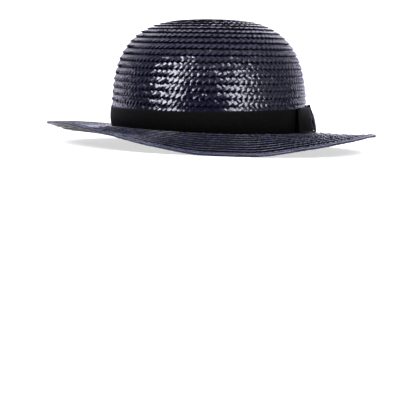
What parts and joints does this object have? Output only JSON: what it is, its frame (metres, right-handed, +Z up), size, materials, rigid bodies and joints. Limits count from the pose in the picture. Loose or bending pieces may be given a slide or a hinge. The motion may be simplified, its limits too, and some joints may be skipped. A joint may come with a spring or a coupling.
{
  "type": "straw bowler hat",
  "caption": "Navy straw bowler hat sewn from rows of glossy plait, with a round crown, a curled brim, a black ribbon band and a flat side bow.",
  "frame": {"origin": "on the resting plane, under the middle of the brim's outline", "axes": "+Z up, the front of the hat faces -Y, +X is the wearer's left, where the bow is"},
  "size_m": [0.2864, 0.3192, 0.1115],
  "materials": {
    "straw": "plaited straw dyed navy, glossy lacquer",
    "ribbon": "black grosgrain, fine cross ribs"
  },
  "bodies": {
    "root": {"crown": "straw", "brim": "straw", "band": "ribbon", "bow_loops": "ribbon", "bow_knot": "ribbon"}
  },
  "joints": []
}
